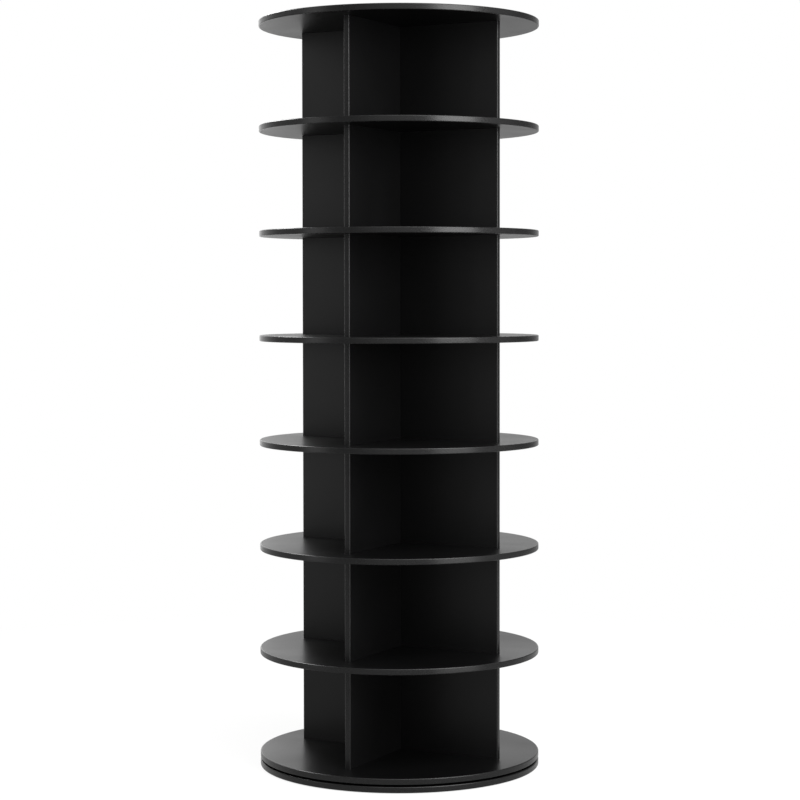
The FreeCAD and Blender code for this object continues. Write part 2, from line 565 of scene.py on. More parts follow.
def turned_rings():
    """Fine lines round the axis, as left by rolling and turning, with dull and bright patches."""
    inputs = {"Lines": 2600.0, "Rough Low": 0.22, "Rough High": 0.40, "Rings": 1.0}
    tree, given, end = group("Turned rings", inputs, ("Height", "Roughness", "Tone"))
    parts = add(tree, "SeparateXYZ", Vector=given["Vector"]).outputs
    squares = [maths(tree, "POWER", parts[axis], 2.0) for axis in (X, Y)]
    radius = maths(tree, "POWER", maths(tree, "ADD", *squares), 0.5)
    lines = add(
        tree, "TexNoise", noise_dimensions="1D", W=radius, Scale=given["Lines"], Detail=2.0
    )
    height = maths(tree, "MULTIPLY", lines.outputs["Fac"], given["Rings"])
    spangle = noise(tree, given["Vector"], 260.0, 4.0, 0.6)
    rough = fit_range(tree, spangle, 0.35, 0.65, given["Rough Low"], given["Rough High"])
    feed(end, Height=height, Roughness=rough, Tone=fit_range(tree, spangle, 0.3, 0.7))
    return tree


def felt_fibres():
    """Short tangled fibres."""
    inputs = {"Fibre": 900.0, "Light": (0.05, 0.047, 0.044, 1.0), "Dark": (0.02, 0.019, 0.018, 1.0)}
    tree, given, end = group("Felt fibres", inputs, ("Color", "Height"))
    fine = noise(tree, given["Vector"], given["Fibre"], 4.0, 0.7, 2.5)
    clump = noise(tree, given["Vector"], 160.0, warp=1.0)
    both = weigh(tree, fine, 0.7, clump)
    colours = blend(tree, fit_range(tree, both, 0.35, 0.65), given["Dark"], given["Light"])
    feed(end, Color=colours, Height=both)
    return tree


SHADER_GROUPS = {
    "Pressed texture": pressed_texture,
    "Wood grain": wood_grain,
    "Wood chips": wood_chips,
    "Turned rings": turned_rings,
    "Felt fibres": felt_fibres,
}


# ---- Materials ------------------------------------------------------------------------------

def shades(base, dark, light):
    """Two tones of one colour."""
    return [tuple(min(1.0, part * factor) for part in base) for factor in (dark, light)]


def new_material(name):
    """New material, its node tree and its Principled shader."""
    material = bpy.data.materials.new(name)
    material.use_nodes = True
    return material, material.node_tree, material.node_tree.nodes["Principled BSDF"]


def surface(name, group_name, relief, even, tones=(), turn=(0.0, 0.0, 0.0), **group_values):
    """Finish that is made once, from one shared group on Object coordinates.

    Relief is the depth of the group's height, and even holds inputs of the Principled shader
    that are the same all over. The group's Tone mixes the tones, or its Color is used.
    """
    if name in bpy.data.materials:
        return bpy.data.materials[name]
    material, tree, shader = new_material(name)
    place = add(tree, "TexCoord").outputs["Object"]
    turned = add(tree, "Mapping", Vector=place, Rotation=turn).outputs["Vector"]
    shared = bpy.data.node_groups.get(group_name) or SHADER_GROUPS[group_name]()
    made = add(tree, "Group", node_tree=shared, Vector=turned, **group_values).outputs
    bump = add(tree, "Bump", Strength=1.0, Distance=relief, Height=made["Height"])
    feed(shader, Normal=bump.outputs["Normal"], **even)
    if tones:
        feed(shader, Base_Color=blend(tree, made["Tone"], *tones), Roughness=made["Roughness"])
    else:
        feed(shader, Base_Color=made["Color"])
    return material


def black_surface(name, base, roughness, refraction, grain, relief):
    """Satin black laminate or edge band."""
    return surface(
        name, "Pressed texture", relief, {"IOR": refraction}, shades(base, 0.75, 1.3),
        Grain=grain, Gloss_Patch=4.5, Rough_Low=roughness - 0.05, Rough_High=roughness + 0.05,
    )


def laminate(name, base, roughness):
    return black_surface(
        name, base, roughness, finishes().board_ior, grain=330.0, relief=0.00006
    )


def board_finishes(faces):
    """A board's laminate, its edge band and its core, which BAND and CORE stand for."""
    look = finishes()
    band = black_surface(
        "black_edge_band", look.band, look.band_rough, look.band_ior, grain=520.0, relief=0.00003
    )
    core = surface(
        "particle_board", "Wood chips", 0.0002, {"Roughness": 0.85},
        Light=look.chip_light, Dark=look.chip_dark,
    )
    return faces, band, core


def beech(name, turn=(0.0, 0.0, 0.0)):
    look = finishes()
    return surface(
        name, "Wood grain", 0.00008, {"Roughness": 0.62}, turn=turn,
        Light=look.beech_light, Dark=look.beech_dark,
    )


def zinc_steel(name, rings):
    tones = shades(finishes().zinc, 0.86, 1.08)
    return surface(name, "Turned rings", 0.00002, {"Metallic": 1.0}, tones, Rings=rings)


def nylon():
    clouded = {"Subsurface_Weight": 0.15, "Subsurface_Scale": 0.002}
    return surface(
        "moulded_nylon", "Pressed texture", 0.00002, clouded, shades(finishes().nylon, 0.94, 1.03),
        Grain=700.0, Gloss_Patch=30.0, Rough_Low=0.42, Rough_High=0.56,
    )


def felt():
    dark, light = shades(finishes().felt, 0.6, 1.5)
    return surface(
        "pressed_felt", "Felt fibres", 0.0004, {"Roughness": 0.95, "Sheen_Weight": 0.35},
        Light=light, Dark=dark,
    )


def glue_foam():
    return surface(
        "foam_glue_layer", "Pressed texture", 0.0001, {}, shades(finishes().glue, 0.85, 1.0),
        Grain=1500.0, Gloss_Patch=60.0, Rough_Low=0.6, Rough_High=0.8,
    )


# ---- Slots and tenons -----------------------------------------------------------------------

def upright_block(low, high, clear=0.0, end_clear=0.0):
    """Tenon on the wing along +X, or its slot when it is given a clearance."""
    size = boards()
    half_width = size.tenon_width / 2 + clear
    half_thick = size.tenon_thick / 2 + clear
    near = (size.tenon_from_axis - half_width, -half_thick, low - end_clear)
    far = (size.tenon_from_axis + half_width, half_thick, high + end_clear)
    return block(near, far)


def cutter(tool, board):
    """A cutting solid whose cut shows the board's core."""
    finish_with(tool, *board.data.materials)
    paint(tool, CORE, lambda place, normal: True)
    return tool


def cut_slots(board, low, high):
    """Four tenon slots from one height to another."""
    slots = ring(upright_block(low, high, boards().slot_clear), WINGS)
    combine(board, cutter(join(slots), board))


def pale_tenon(low, high):
    """Tenon along +X with eased ends and glue flutes in its wide faces."""
    tenon = upright_block(low, high)
    size = boards()
    end_ease, side_ease, ease_steps = 0.0008, 0.0005, 2
    flute_pitch = size.tenon_width / 7
    flute_half = 0.0006
    flute_depth = 0.00035
    middles = [size.tenon_from_axis + i * flute_pitch for i in range(-2, 3)]
    with editing(tenon):
        pick(tenon, "EDGE", is_level)
        bevel(end_ease, ease_steps)
        pick(tenon, "EDGE", is_upright)
        bevel(side_ease, ease_steps)
        for place in middles:
            slice_at(X, place - flute_half, place + flute_half)
        for side in (-1, 1):
            pick_flat(
                tenon, Y, side, lambda c: min(abs(c.x - place) for place in middles) < flute_half
            )
            sink(Y, -side * flute_depth)
    settle(tenon)
    return tenon


# ---- Round boards ---------------------------------------------------------------------------

def away(place):
    """Distance of a point from the turning axis."""
    return math.hypot(place.x, place.y)


def round_board(node):
    """Round board with rounded arrises and the hairline beside its edge band on both faces."""
    size = boards()
    low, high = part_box(node)
    board = cylinder(high.x, low.z, high.z, size.segments)
    line_out = high.x - size.band
    line_in = line_out - size.joint_line
    with editing(board):
        pick(board, "EDGE", is_level)
        bevel(size.rim_round, size.rounding_steps)
        for side in (-1, 1):
            pick_flat(board, Z, side, lambda c: away(c) < high.x / 2)
            bpy.ops.mesh.inset(thickness=size.band - size.rim_round)
            bpy.ops.mesh.inset(thickness=size.joint_line)
            pick_flat(board, Z, side, lambda c: line_in - 2 * HAIR < away(c) < line_out)
            sink(Z, -side * size.joint_depth)
    laminated = laminate("satin_black_shelf", finishes().shelf, finishes().shelf_rough)
    finish_with(board, *board_finishes(laminated))
    paint(board, BAND, lambda place, normal: away(place) > line_out)
    return board


class SHOETOWER_OT_shelves(bpy.types.Operator):
    """Six round shelves, slotted for the tenons that pass through them"""

    bl_idname = "shoe_tower.shelves"
    bl_label = "Round Shelves"

    def execute(self, context):
        low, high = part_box("shelf_disc_1")
        shelf = round_board("shelf_disc_1")
        spare = boards().end_clear
        cut_slots(shelf, low.z - spare, high.z + spare)
        settle(shelf)
        stack(shelf, low.z, SHELVES, ("shelf_disc", "round_shelf", 0.0))
        return {"FINISHED"}


class SHOETOWER_OT_top_board(bpy.types.Operator):
    """Top board with blind slots in its underside"""

    bl_idname = "shoe_tower.top_board"
    bl_label = "Top Board"

    def execute(self, context):
        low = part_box("top_disc")[0].z
        board = round_board("top_disc")
        cut_slots(board, low - boards().end_clear, low + boards().blind_slot)
        settle(board)
        dress(board, "round_top", "tower", "top_disc")
        return {"FINISHED"}


class SHOETOWER_OT_bottom_board(bpy.types.Operator):
    """Bottom board of the tower, with blind slots, screw pilots and the pivot's bore"""

    bl_idname = "shoe_tower.bottom_board"
    bl_label = "Bottom Board"

    def execute(self, context):
        size = fittings()
        low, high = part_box("bottom_disc")
        board = round_board("bottom_disc")
        cut_slots(board, high.z - boards().blind_slot, high.z + boards().end_clear)
        screw_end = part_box("track_screws")[1].z
        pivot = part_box("centre_pivot")[1]
        pilot_clear, bore_clear, bore_end = 0.00005, 0.00006, 0.0005
        start = low.z - PAST
        pilot = cylinder(size.screw_crest + pilot_clear, start, screw_end, 24, size.screw_ring)
        bore = cylinder(pivot.x + bore_clear, start, pivot.z + bore_end, 64)
        pilots = ring(pilot, SCREWS, size.screw_turn)
        combine(board, cutter(join(pilots + [bore]), board))
        settle(board)
        dress(board, "round_bottom", "tower", "bottom_disc")
        return {"FINISHED"}


class SHOETOWER_OT_base_board(bpy.types.Operator):
    """Base board with the pocket of the roller ring and the pivot's seat"""

    bl_idname = "shoe_tower.base_board"
    bl_label = "Base Board"

    def execute(self, context):
        size = fittings()
        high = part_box("base_disc")[1].z
        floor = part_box("lower_track")[0].z
        pivot_low, pivot_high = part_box("centre_pivot")
        seat_clear = 0.00002
        board = round_board("base_disc")
        pocket = cylinder(size.track_outer + size.pocket_clear, floor, high + PAST, 128)
        combine(board, cutter(pocket, board))
        seat = cylinder(pivot_high.x + seat_clear, pivot_low.z, floor + PAST, 64)
        combine(board, cutter(seat, board))
        settle(board)
        dress(board, "round_base", "base", "base_disc")
        return {"FINISHED"}


# ---- Dividers -------------------------------------------------------------------------------

def wing_board(start, end, low, high, half_thick):
    """Board along X with rounded outer arrises, and the hairline beside each edge band."""
    size = boards()
    board = block((start, -half_thick, low), (end, half_thick, high))
    ends = [x for x in (start, end) if abs(x) > end / 2]

    def from_end(x):
        return min(abs(x - end_x) for end_x in ends)

    with editing(board):
        pick(board, "EDGE", lambda e: is_upright(e) and from_end(middle(e).x) < PAST)
        bevel(size.wing_round, size.rounding_steps)
        for end_x in ends:
            inward = -1 if end_x > 0 else 1
            line = end_x + inward * size.band
            slice_at(X, line, line + inward * size.joint_line)
            for side in (-1, 1):
                pick_flat(board, Y, side, lambda c: abs(c.x - line) < size.joint_line)
                sink(Y, -side * size.joint_depth)
    laminated = laminate("satin_black_divider", finishes().wing, finishes().wing_rough)
    finish_with(board, *board_finishes(laminated))
    paint(board, BAND, lambda place, normal: from_end(place.x) < size.band)
    paint(board, CORE, lambda place, normal: abs(normal.z) > SQUARE)
    return board


def cross_mortise(low, high):
    """Mortise of the cross tenon that runs through a long divider, along Y."""
    size = boards()
    half_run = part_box("long_divider_1")[1].y + size.tenon_bite + size.end_clear
    half_wide = size.tenon_width / 2 + size.slot_clear
    half_thick = size.tenon_thick / 2 + size.slot_clear
    level = (low + high) / 2
    return block(
        (-half_thick, -half_run, level - half_wide), (half_thick, half_run, level + half_wide)
    )


def divider(start, end, low, high, half_thick):
    """Finished board along X with its mortises. A long one starts on the far side of the axis."""
    size = boards()
    bite = size.tenon_bite
    board = wing_board(start, end, low, high, half_thick)
    cross = cross_mortise(low, high)
    cuts = []
    for level in (low, high):
        cuts.append(upright_block(level - bite, level + bite, size.slot_clear, size.end_clear))
    if start < 0:
        cuts += [twin(one, math.pi) for one in cuts]
    else:
        cross.data.transform(Matrix.Rotation(QUARTER, 4, "Z"))
    combine(board, cutter(join(cuts + [cross]), board))
    settle(board)
    return board


class SHOETOWER_OT_long_dividers(bpy.types.Operator):
    """Seven long dividers that run through from side to side"""

    bl_idname = "shoe_tower.long_dividers"
    bl_label = "Long Dividers"

    def execute(self, context):
        low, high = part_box("long_divider_1")
        board = divider(low.x, high.x, low.z, high.z, high.y)
        stack(board, low.z, TIERS, ("long_divider", "long_wing", 0.0))
        return {"FINISHED"}


class SHOETOWER_OT_half_dividers(bpy.types.Operator):
    """Front and rear half dividers that butt against the long ones"""

    bl_idname = "shoe_tower.half_dividers"
    bl_label = "Half Dividers"

    def execute(self, context):
        low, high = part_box("rear_divider_1")
        board = divider(low.y, high.y, low.z, high.z, high.x)
        front = ("front_divider", "front_wing", -QUARTER)
        rear = ("rear_divider", "rear_wing", QUARTER)
        stack(board, low.z, TIERS, front, rear)
        return {"FINISHED"}


class SHOETOWER_OT_tenons(bpy.types.Operator):
    """Loose beech tenons through the shelves, into the end boards and across the dividers"""

    bl_idname = "shoe_tower.tenons"
    bl_label = "Loose Tenons"

    def execute(self, context):
        self.make_shelf_tenons()
        self.make_end_tenons()
        self.make_cross_tenons()
        return {"FINISHED"}

    def make_shelf_tenons(self):
        bite = boards().tenon_bite
        low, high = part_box("shelf_disc_1")
        tenon = pale_tenon(low.z - bite, high.z + bite)
        finish_with(tenon, beech("beech_upright"))
        made = []
        for i in range(1, SHELVES + 1):
            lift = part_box("shelf_disc_%d" % i)[0].z - low.z
            made += [twin(tenon, turn * math.tau / WINGS, lift) for turn in range(WINGS)]
        bpy.data.objects.remove(tenon)
        dress(join(made), "shelf_joint_tenons", "tower", "shelf_tenons")

    def make_end_tenons(self):
        low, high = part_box("end_tenons")
        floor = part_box("bottom_disc")[1].z
        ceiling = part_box("top_disc")[0].z
        bite = boards().tenon_bite
        made = []
        for start, end in ((low.z, floor + bite), (ceiling - bite, high.z)):
            tenon = pale_tenon(start, end)
            finish_with(tenon, beech("beech_upright"))
            made += ring(tenon, WINGS)
        dress(join(made), "end_joint_tenons", "tower", "end_tenons")

    def make_cross_tenons(self):
        """Modelled standing, then laid along Y."""
        size = boards()
        low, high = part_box("long_divider_1")
        reach = high.y + size.tenon_bite
        tenon = pale_tenon(-reach, reach)
        centred = Matrix.Translation((-size.tenon_from_axis, 0, 0))
        laid = Matrix(((0, 1, 0), (0, 0, 1), (1, 0, 0))).to_4x4()
        raised = Matrix.Translation((0, 0, (low.z + high.z) / 2))
        tenon.data.transform(raised @ laid @ centred)
        finish_with(tenon, beech("beech_across", (QUARTER, 0.0, 0.0)))
        made = []
        for i in range(1, TIERS + 1):
            made.append(twin(tenon, lift=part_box("long_divider_%d" % i)[0].z - low.z))
        bpy.data.objects.remove(tenon)
        dress(join(made), "cross_joint_tenons", "tower", "cross_tenons")


# ---- Turntable ------------------------------------------------------------------------------

def flat_ring(inner, outer, low, high, sides=160):
    """Ring of sheet: a disc whose middle is inset on both faces and bridged through."""
    made = cylinder(outer, low, high, sides)
    width = (outer - inner) * math.cos(math.pi / sides)
    with editing(made):
        pick(made, "FACE", lambda f: abs(f.normal.z) > SQUARE)
        bpy.ops.mesh.inset(thickness=width, use_individual=True)
        pick(made, "FACE", lambda f: abs(f.normal.z) > SQUARE and len(f.verts) == sides)
        bpy.ops.mesh.bridge_edge_loops()
    return made


def ease_rims(piece, width, steps):
    """Rounds the four circular edges of a ring."""
    def is_rim(edge):
        return is_level(edge) and edge.calc_face_angle(0.0) > math.radians(60)

    with editing(piece):
        pick(piece, "EDGE", is_rim)
        bevel(width, steps)


class SHOETOWER_OT_tracks(bpy.types.Operator):
    """Lower and upper track of the roller ring"""

    bl_idname = "shoe_tower.tracks"
    bl_label = "Tracks"

    def execute(self, context):
        size = fittings()
        hole_clear = 0.00025
        hole_radius = size.screw_crest + hole_clear
        for node, body in (("lower_track", "base"), ("upper_track", "tower")):
            low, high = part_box(node)
            track = flat_ring(size.track_inner, size.track_outer, low.z, high.z)
            ease_rims(track, size.track_ease, 2)
            if body == "tower":
                hole = cylinder(hole_radius, low.z - PAST, high.z + PAST, 32, size.screw_ring)
                combine(track, join(ring(hole, SCREWS, size.screw_turn)))
            finish_with(track, zinc_steel("zinc_track", 1.0))
            settle(track)
            dress(track, node.replace("track", "roller_track"), body, node)
        return {"FINISHED"}


class SHOETOWER_OT_track_screws(bpy.types.Operator):
    """Three pan-head screws with a cross recess and a rolled thread"""

    bl_idname = "shoe_tower.track_screws"
    bl_label = "Track Screws"

    def execute(self, context):
        size = fittings()
        low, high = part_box("track_screws")
        seat = low.z + size.head_high
        head = self.pan_head(low.z, seat)
        combine(head, self.threaded_shank(seat, high.z), "UNION")
        head.data.transform(Matrix.Translation((size.screw_ring, 0, 0)))
        finish_with(head, zinc_steel("zinc_plain", 0.0))
        settle(head, 35.0)
        screws = join(ring(head, SCREWS, size.screw_turn))
        dress(screws, "pan_head_screws", "tower", "track_screws")
        return {"FINISHED"}

    def pan_head(self, low, seat):
        """Head that hangs down, with its recess in the lower face."""
        dome, dome_steps = 0.0014, 5
        arm, half_width, start, depth = 0.0019, 0.00045, 0.0003, 0.0013
        taper = (0.35, 0.7, 1.0)
        head = cylinder(fittings().head_radius, low, seat, 48)
        with editing(head):
            pick(head, "EDGE", lambda e: is_level(e) and middle(e).z < low + HAIR)
            bevel(dome, dome_steps)
        for turn in (0.0, QUARTER):
            slot = block((-arm, -half_width, low - start), (arm, half_width, low + depth))
            with editing(slot):
                self.narrow_top(slot, taper, low)
            slot.data.transform(Matrix.Rotation(turn, 4, "Z"))
            combine(head, slot)
        return head

    def narrow_top(self, piece, taper, height):
        pick(piece, "FACE", lambda f: f.normal.z > 0.9)
        bpy.ops.transform.resize(value=taper, center_override=(0, 0, height))

    def threaded_shank(self, seat, end):
        """Core with a helical ridge wound round it."""
        size = fittings()
        point, in_head, start = 0.0018, 0.0005, seat + 0.0004
        taper = (0.3, 0.3, 1.0)
        core = cylinder(size.screw_core, seat - in_head, end, 32)
        with editing(core):
            slice_at(Z, end - point)
            self.narrow_top(core, taper, end)
        ridge = self.ridge_section(start)
        activate(ridge)
        wind = ridge.modifiers.new("thread", "SCREW")
        wind.axis = "Z"
        wind.angle = math.tau
        wind.screw_offset = size.screw_pitch
        wind.iterations = int((end - point - start) / size.screw_pitch)
        wind.steps = 24
        wind.render_steps = 24
        wind.use_merge_vertices = True
        wind.merge_threshold = 2 * WELD
        bpy.ops.object.modifier_apply(modifier=wind.name)
        with editing(ridge):
            weld(2 * WELD)
            bpy.ops.mesh.fill_holes(sides=3)
            bpy.ops.mesh.select_all(action="SELECT")
            bpy.ops.mesh.normals_make_consistent(inside=False)
        combine(core, ridge, "UNION")
        return core

    def ridge_section(self, first):
        """Triangle that the thread is wound from."""
        size = fittings()
        deselect()
        bpy.ops.mesh.primitive_circle_add(vertices=3, radius=1.0, fill_type="NOTHING")
        ridge = bare("ridge")
        sunk = 0.00015
        root = size.screw_core - sunk
        section = ((root, 0.0), (size.screw_crest, 0.3), (root, 0.6))
        for corner, (radius, rise) in zip(ridge.data.vertices, section):
            corner.co = (radius, 0.0, first + size.screw_pitch * rise)
        return ridge


class SHOETOWER_OT_roller_cage(bpy.types.Operator):
    """Nylon cage with a window for each roller, and shallow hollows between them"""

    bl_idname = "shoe_tower.roller_cage"
    bl_label = "Roller Cage"

    def execute(self, context):
        size = fittings()
        low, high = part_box("roller_cage")
        start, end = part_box("roller_1")
        clear = size.window_clear
        rim_ease, hollow_inset, hollow_half, hollow_depth = 0.0004, 0.0015, 0.010, 0.0008
        cage = flat_ring(2 * size.roller_ring - high.x, high.x, low.z, high.z)
        ease_rims(cage, rim_ease, 3)
        near = (start.x - clear, -end.y - clear, low.z - PAST)
        far = (end.x + clear, end.y + clear, high.z + PAST)
        combine(cage, join(ring(block(near, far), ROLLERS)))
        for level in (high.z, low.z):
            near = (start.x + hollow_inset, -hollow_half, level - hollow_depth)
            far = (end.x - hollow_inset, hollow_half, level + hollow_depth)
            combine(cage, join(ring(block(near, far), ROLLERS, math.pi / ROLLERS)))
        finish_with(cage, nylon())
        settle(cage)
        dress(cage, "nylon_cage", "roller_ring", "roller_cage")
        return {"FINISHED"}


class SHOETOWER_OT_rollers(bpy.types.Operator):
    """Six steel rollers with chamfered ends and centre marks"""

    bl_idname = "shoe_tower.rollers"
    bl_label = "Rollers"

    def execute(self, context):
        low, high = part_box("roller_1")
        sides = 64
        end_ease, end_land, mark_slope, mark_depth = 0.0004, 0.0012, 0.0007, 0.0005
        deselect()
        bpy.ops.mesh.primitive_cylinder_add(
            vertices=sides, radius=high.y, depth=high.x - low.x,
            location=(low + high) / 2, rotation=(0.0, QUARTER, 0.0),
        )
        roller = bare("roller")
        with editing(roller):
            pick(roller, "EDGE", lambda e: run(e).x < 0.5)
            bevel(end_ease, 3)
            pick(roller, "FACE", lambda f: abs(f.normal.x) > SQUARE and len(f.verts) == sides)
            bpy.ops.mesh.inset(thickness=end_land, use_individual=True)
            bpy.ops.mesh.inset(thickness=mark_slope, depth=-mark_depth, use_individual=True)
        finish_with(roller, zinc_steel("zinc_plain", 0.0))
        settle(roller)
        for i, copy in enumerate(ring(roller, ROLLERS)):
            name = "roller_%d" % (i + 1)
            dress(copy, "steel_" + name, name, name)
        return {"FINISHED"}


class SHOETOWER_OT_centre_pivot(bpy.types.Operator):
    """Centre pivot with chamfered ends and two grease grooves"""

    bl_idname = "shoe_tower.centre_pivot"
    bl_label = "Centre Pivot"

    def execute(self, context):
        width = fittings().pivot_groove
        low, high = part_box("centre_pivot")
        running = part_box("bottom_disc")[0].z
        grooves = [running + 0.003, running + 0.0065]
        end_ease, ease_steps = 0.0008, 2
        groove_floor = 0.93

        def in_groove(face):
            height = face.calc_center_median().z
            return abs(face.normal.z) < 0.5 and any(0 < height - start < width for start in grooves)

        pin = cylinder(high.x, low.z, high.z, 64)
        with editing(pin):
            pick(pin, "EDGE", is_level)
            bevel(end_ease, ease_steps)
            for start in grooves:
                slice_at(Z, start, start + width)
            pick(pin, "FACE", in_groove)
            bpy.ops.mesh.extrude_region_move()
            bpy.ops.transform.resize(
                value=(groove_floor, groove_floor, 1.0), center_override=(0, 0, 0)
            )
        finish_with(pin, zinc_steel("zinc_track", 1.0))
        settle(pin)
        dress(pin, "pivot_pin", "base", "centre_pivot")
        return {"FINISHED"}


class SHOETOWER_OT_glide_pads(bpy.types.Operator):
    """Felt glide pads with their foam glue layer"""

    bl_idname = "shoe_tower.glide_pads"
    bl_label = "Glide Pads"

    def execute(self, context):
        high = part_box("glide_pads")[1]
        side = 0.025
        corner_round, foot_round, nap, nap_reach = 0.0022, 0.0002, 0.00012, 0.0012
        cells = 12
        reach = high.x * math.sqrt(2) - side / 2
        layer = high.z - fittings().glue_layer

        def is_foot_edge(edge):
            return is_level(edge) and middle(edge).z < HAIR and edge.calc_face_angle(0.0) > 1.0

        def is_felt_side(vertex):
            out = max(abs(vertex.co.x - reach), abs(vertex.co.y))
            return vertex.co.z < layer - HAIR and out > side / 2 - nap_reach

        pad = block((reach - side / 2, -side / 2, 0.0), (reach + side / 2, side / 2, high.z))
        with editing(pad):
            pick(pad, "EDGE", is_upright)
            bevel(corner_round, 4)
            slice_at(Z, layer)
            for i in range(1, cells):
                place = -side / 2 + i * side / cells
                slice_at(Y, place)
                slice_at(X, reach + place)
            pick(pad, "EDGE", is_foot_edge)
            bevel(foot_round, 2)
            pick(pad, "VERT", is_felt_side)
            bpy.ops.transform.vertex_random(offset=nap, uniform=1.0, normal=0.0, seed=7)
        finish_with(pad, felt(), glue_foam())
        paint(pad, 1, lambda place, normal: place.z > layer and abs(normal.z) < 0.9)
        settle(pad, 50.0)
        pads = join(ring(pad, WINGS, math.pi / 4))
        lowest = min(vertex.co.z for vertex in pads.data.vertices)
        pads.data.transform(Matrix.Translation((0, 0, max(0.0, -lowest))))
        dress(pads, "felt_glides", "base", "glide_pads")
        return {"FINISHED"}


# ---- Stage ----------------------------------------------------------------------------------

def round_the_axis(turn, distance, height):
    """Place at a turn to the right of the front."""
    return distance * math.sin(turn), -distance * math.cos(turn), height


def set_up(name, data, place, rotation):
    """Camera or lamp, at its place."""
    made = bpy.data.objects.new(name, data)
    made.location = place
    made.rotation_euler = rotation
    bpy.context.collection.objects.link(made)
    return made


class SHOETOWER_OT_stage(bpy.types.Operator):
    """Camera, pale floor, white surroundings and soft light"""

    bl_idname = "shoe_tower.stage"
    bl_label = "Stage"

    def execute(self, context):
        setup = context.scene.tower_stage
        self.place_camera(context.scene, setup)
        self.lay_floor(setup)
        self.light_room(context.scene, setup)
        self.hang_lamps(setup)
        context.scene.view_settings.view_transform = "Standard"
        return {"FINISHED"}

    def place_camera(self, scene, setup):
        lens = bpy.data.cameras.new("camera")
        lens.sensor_width = 36.0
        lens.lens = setup.lens
        lens.shift_y = setup.shift
        lens.clip_end = 100.0
        turn = Matrix.Rotation(setup.azimuth + setup.yaw, 3, "Z")
        tilt = Matrix.Rotation(QUARTER - setup.tilt, 3, "X")
        lean = Matrix.Rotation(setup.roll, 3, "Z")
        place = round_the_axis(setup.azimuth, setup.distance, setup.height)
        scene.camera = set_up("camera", lens, place, (turn @ tilt @ lean).to_euler())

    def lay_floor(self, setup):
        deselect()
        bpy.ops.mesh.primitive_plane_add(size=setup.floor_side, location=(0, 0, -HAIR))
        floor = bare("floor")
        finish_with(floor, self.floor_material(setup))

    def floor_material(self, setup):
        """Pale matt floor that shows as white, and still takes the object's shadow."""
        material, tree, shader = new_material("pale_floor")
        feed(shader, Base_Color=setup.floor, Roughness=1.0, Specular_IOR_Level=0.0)
        glossy = add(tree, "LightPath").outputs["Is Glossy Ray"]
        glow = add(tree, "Emission", Strength=choose(tree, glossy, 1.0, setup.floor_gloss))
        out = add(tree, "VectorMath", operation="LENGTH")
        supply(out.inputs[0], add(tree, "TexCoord").outputs["Object"])
        shadow_start = CAD_HIGH[0] * 2
        whiteness = fit_range(
            tree, out.outputs["Value"], shadow_start, setup.shadow_reach, setup.floor_glow
        )
        plain = maths(tree, "MULTIPLY", self.seen_directly(tree), whiteness)
        mix = add(tree, "MixShader")
        for place, value in enumerate((plain, shader.outputs["BSDF"], glow.outputs["Emission"])):
            supply(mix.inputs[place], value)
        feed(tree.nodes["Material Output"], Surface=mix.outputs["Shader"])
        return material

    def seen_directly(self, tree):
        """1 for what the camera, gloss or glass sees, and 0 for what lights a matt face."""
        path = add(tree, "LightPath").outputs
        mirrored = maths(tree, "MAXIMUM", path["Is Glossy Ray"], path["Is Transmission Ray"])
        return maths(tree, "MAXIMUM", path["Is Camera Ray"], mirrored)

    def light_room(self, scene, setup):
        """White room: plain white to the camera, and graded by height and direction in gloss."""
        world = bpy.data.worlds.new("white_room")
        scene.world = world
        world.use_nodes = True
        tree = world.node_tree
        place = add(tree, "TexCoord").outputs["Generated"]
        by_height = self.level_by_height(tree, place)
        gloss = maths(tree, "MULTIPLY", by_height, self.level_round(tree, place, setup))
        camera_ray = add(tree, "LightPath").outputs["Is Camera Ray"]
        seen = choose(tree, camera_ray, gloss, 1.0)
        level = choose(tree, self.seen_directly(tree), setup.ambient, seen)
        feed(tree.nodes["Background"], Color=(1.0, 1.0, 1.0), Strength=level)

    def level_by_height(self, tree, place):
        """Brightness in gloss by height: white at eye level and above, greyer at both ends."""
        parts = add(tree, "SeparateXYZ", Vector=place)
        low, high = -0.2, 0.6
        stops = (
            (-0.17, 0.58), (-0.13, 0.72), (-0.09, 1.0), (-0.03, 1.0),
            (0.06, 1.0), (0.12, 1.0), (0.22, 1.0), (0.5, 0.8),
        )
        height = fit_range(tree, parts.outputs["Z"], low, high)
        fitted = [((rise - low) / (high - low), level) for rise, level in stops]
        return self.level_ramp(tree, height, fitted)

    def level_round(self, tree, place, setup):
        """Brightness in gloss by direction, in degrees to the right of the camera."""
        to_camera = (0.0, 0.0, QUARTER - setup.azimuth)
        turned = add(tree, "Mapping", Vector=place, Rotation=to_camera).outputs["Vector"]
        way = add(tree, "TexGradient", gradient_type="RADIAL", Vector=turned)
        far, side = setup.far_corner, setup.left_side
        stops = (
            (-180, 0.9), (-172, 1.0), (-146, 1.0), (-132, 0.7), (-118, side), (-102, 0.65),
            (-84, 0.75), (-64, 0.75), (-57, 0.45), (-36, 0.4), (-24, 0.7), (-12, 1.0),
            (86, 1.0), (100, 0.7), (116, far), (138, far), (156, 0.5), (170, 0.86), (180, 0.9),
        )
        fitted = [(degrees / 360 + 0.5, level) for degrees, level in stops]
        return self.level_ramp(tree, way.outputs["Fac"], fitted)

    def level_ramp(self, tree, value, stops):
        ramp = add(tree, "ValToRGB", Fac=value)
        for i, (where, level) in enumerate(stops):
            stop = ramp.color_ramp.elements[i] if i < 2 else ramp.color_ramp.elements.new(where)
            stop.position = where
            stop.color = (level, level, level, 1.0)
        return ramp.outputs["Color"]

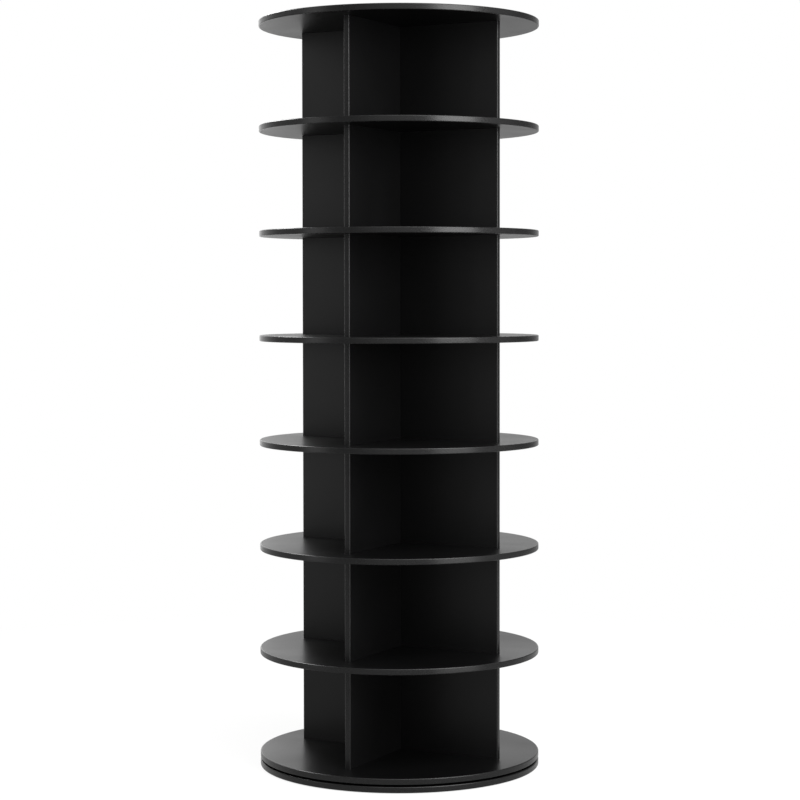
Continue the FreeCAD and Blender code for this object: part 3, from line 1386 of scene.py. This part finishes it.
    def hang_lamps(self, setup):
        """Soft ceiling light, and panels that face the axis.

        A panel has its power, width and height, degrees to the right of the camera, distance
        from the axis, height above the floor, and degrees that it looks down.
        """
        sun = bpy.data.lights.new("ceiling_light", "SUN")
        sun.energy = setup.sun
        softness, lean, bearing = (math.radians(degrees) for degrees in (60.0, 32.0, 40.0))
        sun.angle = softness
        set_up("ceiling_light", sun, (0, 0, 0), (lean, 0.0, bearing))
        panels = {
            "right_softbox": (setup.key, 1.25, 1.5, 43.5, 2.2, 1.75, 0.0),
            "middle_softbox": (setup.middle_light, 1.25, 0.6, 43.5, 2.2, 0.6, 0.0),
            "low_softbox": (setup.low_light, 0.75, 0.4, 43.5, 1.3, 0.2, 0.0),
            "left_softbox": (setup.left_light, 0.75, 2.6, -68.0, 2.36, 1.35, 0.0),
            "high_left_softbox": (setup.high_left, 1.4, 0.8, -127.0, 2.2, 2.7, 42.0),
            "high_right_softbox": (setup.high_right, 2.6, 0.6, 42.0, 2.2, 2.9, 42.0),
            "rear_softbox": (setup.rear_light, 0.8, 2.6, -160.0, 2.4, 1.35, 0.0),
        }
        for name, (energy, width, tall, degrees, distance, height, dip) in panels.items():
            lamp = bpy.data.lights.new(name, "AREA")
            lamp.shape = "RECTANGLE"
            lamp.size, lamp.size_y = width, tall
            lamp.energy = energy
            turn = setup.azimuth + math.radians(degrees)
            rotation = (QUARTER - math.radians(dip), 0.0, turn)
            set_up(name, lamp, round_the_axis(turn, distance, height), rotation)


# ---- Panel and registration -----------------------------------------------------------------

STEPS = (
    SHOETOWER_OT_stage,
    SHOETOWER_OT_base_board,
    SHOETOWER_OT_bottom_board,
    SHOETOWER_OT_shelves,
    SHOETOWER_OT_top_board,
    SHOETOWER_OT_long_dividers,
    SHOETOWER_OT_half_dividers,
    SHOETOWER_OT_tenons,
    SHOETOWER_OT_tracks,
    SHOETOWER_OT_track_screws,
    SHOETOWER_OT_roller_cage,
    SHOETOWER_OT_rollers,
    SHOETOWER_OT_centre_pivot,
    SHOETOWER_OT_glide_pads,
)


class SHOETOWER_PT_panel(bpy.types.Panel):
    """Lists the steps that build the tower, and its sizes and colours"""

    bl_label = "Shoe Tower"
    bl_idname = "SHOETOWER_PT_panel"
    bl_space_type = "VIEW_3D"
    bl_region_type = "UI"
    bl_category = "Shoe Tower"

    def draw(self, context):
        column = self.layout.column(align=True)
        for step in STEPS:
            column.operator(step.bl_idname)
        for owner in GROUPS:
            box = self.layout.box()
            settings = getattr(context.scene, owner)
            for name in settings.bl_rna.properties.keys():
                if name not in ("rna_type", "name"):
                    box.prop(settings, name)


CLASSES = (*GROUPS.values(), *STEPS, SHOETOWER_PT_panel)


def register():
    for one in CLASSES:
        bpy.utils.register_class(one)
    for owner, kind in GROUPS.items():
        setattr(bpy.types.Scene, owner, PointerProperty(type=kind))


def unregister():
    for owner in GROUPS:
        delattr(bpy.types.Scene, owner)
    for one in reversed(CLASSES):
        bpy.utils.unregister_class(one)


def main():
    register()
    bpy.ops.shoe_tower.stage()
    bpy.ops.shoe_tower.base_board()
    bpy.ops.shoe_tower.bottom_board()
    bpy.ops.shoe_tower.shelves()
    bpy.ops.shoe_tower.top_board()
    bpy.ops.shoe_tower.long_dividers()
    bpy.ops.shoe_tower.half_dividers()
    bpy.ops.shoe_tower.tenons()
    bpy.ops.shoe_tower.tracks()
    bpy.ops.shoe_tower.track_screws()
    bpy.ops.shoe_tower.roller_cage()
    bpy.ops.shoe_tower.rollers()
    bpy.ops.shoe_tower.centre_pivot()
    bpy.ops.shoe_tower.glide_pads()


if __name__ == "__main__":
    main()
